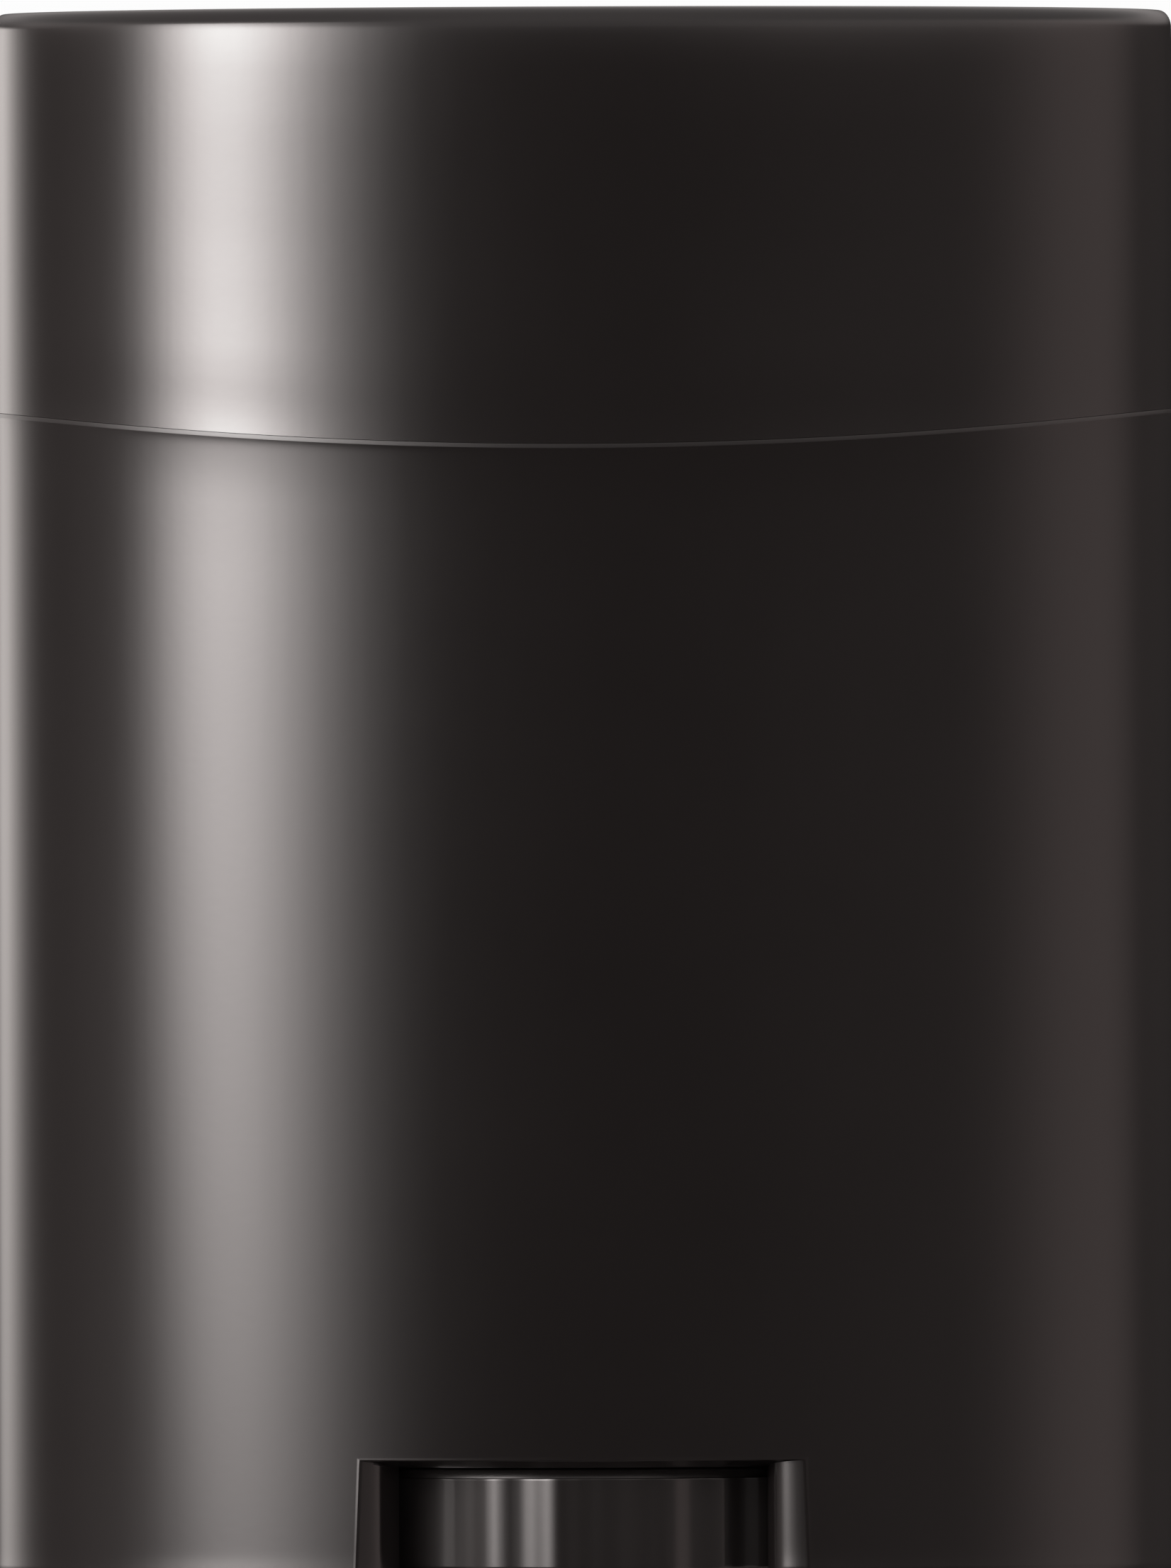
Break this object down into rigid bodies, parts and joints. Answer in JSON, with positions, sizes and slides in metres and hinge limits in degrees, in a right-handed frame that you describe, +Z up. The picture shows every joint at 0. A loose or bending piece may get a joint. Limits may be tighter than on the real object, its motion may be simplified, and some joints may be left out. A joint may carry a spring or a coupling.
{
  "type": "twist-up oval cosmetic stick",
  "caption": "Oval twist-up sunscreen stick: pull-off cap with liner, clear inner lid, thumb wheel in a window at the foot, lead screw, carrier and a domed solid bar in an oval barrel.",
  "frame": {"origin": "centre of the footprint, on the plane the stick stands on", "axes": "+Z up along the stick, +X to the right along the wide side, the front with the pictured thumb window faces -Y, +Y to the back through the thin side"},
  "size_m": [0.047, 0.026, 0.0623],
  "materials": {
    "case_plastic": "satin to glossy warm near-black moulded plastic",
    "cap_plastic": "satin to glossy warm near-black moulded plastic",
    "dial_plastic": "glossy warm near-black moulded plastic",
    "liner_plastic": "matt near-black moulded plastic",
    "barrel_plastic": "natural milky white moulded plastic",
    "spindle_plastic": "natural white moulded plastic",
    "carrier_plastic": "natural white moulded plastic",
    "seal_rubber": "matt black rubber",
    "sunscreen_wax": "cast off-white solid sunscreen, soft sheen",
    "lid_clear": "clear glossy moulded plastic"
  },
  "bodies": {
    "case": {"outer_case": "case_plastic", "inner_barrel": "barrel_plastic"},
    "drive": {"dial": "dial_plastic", "spindle": "spindle_plastic", "spindle_seal": "seal_rubber"},
    "lift": {"carrier": "carrier_plastic", "product_bar": "sunscreen_wax"},
    "lid": {"hygiene_lid": "lid_clear"},
    "cap": {"cap_shell": "cap_plastic", "cap_liner": "liner_plastic"}
  },
  "joints": [
    {"name": "dial_turn", "type": "hinge", "parent": "case", "child": "drive", "pos_m": [0, 0, 0], "axis": [0, 0, 1], "range_deg": [0, 3060.5]},
    {"name": "carrier_lift", "type": "slide", "parent": "case", "child": "lift", "axis": [0, 0, 1], "range_m": [0, 0.034]},
    {"name": "lid_lift", "type": "slide", "parent": "lift", "child": "lid", "axis": [0, 0, 1], "range_m": [0, 0.015]},
    {"name": "cap_pull", "type": "slide", "parent": "lid", "child": "cap", "axis": [0, 0, 1], "range_m": [0, 0.025]}
  ],
  "couplings": [
    {"joint": "dial_turn", "follows": "carrier_lift", "rad_per_m": 1570.8}
  ]
}
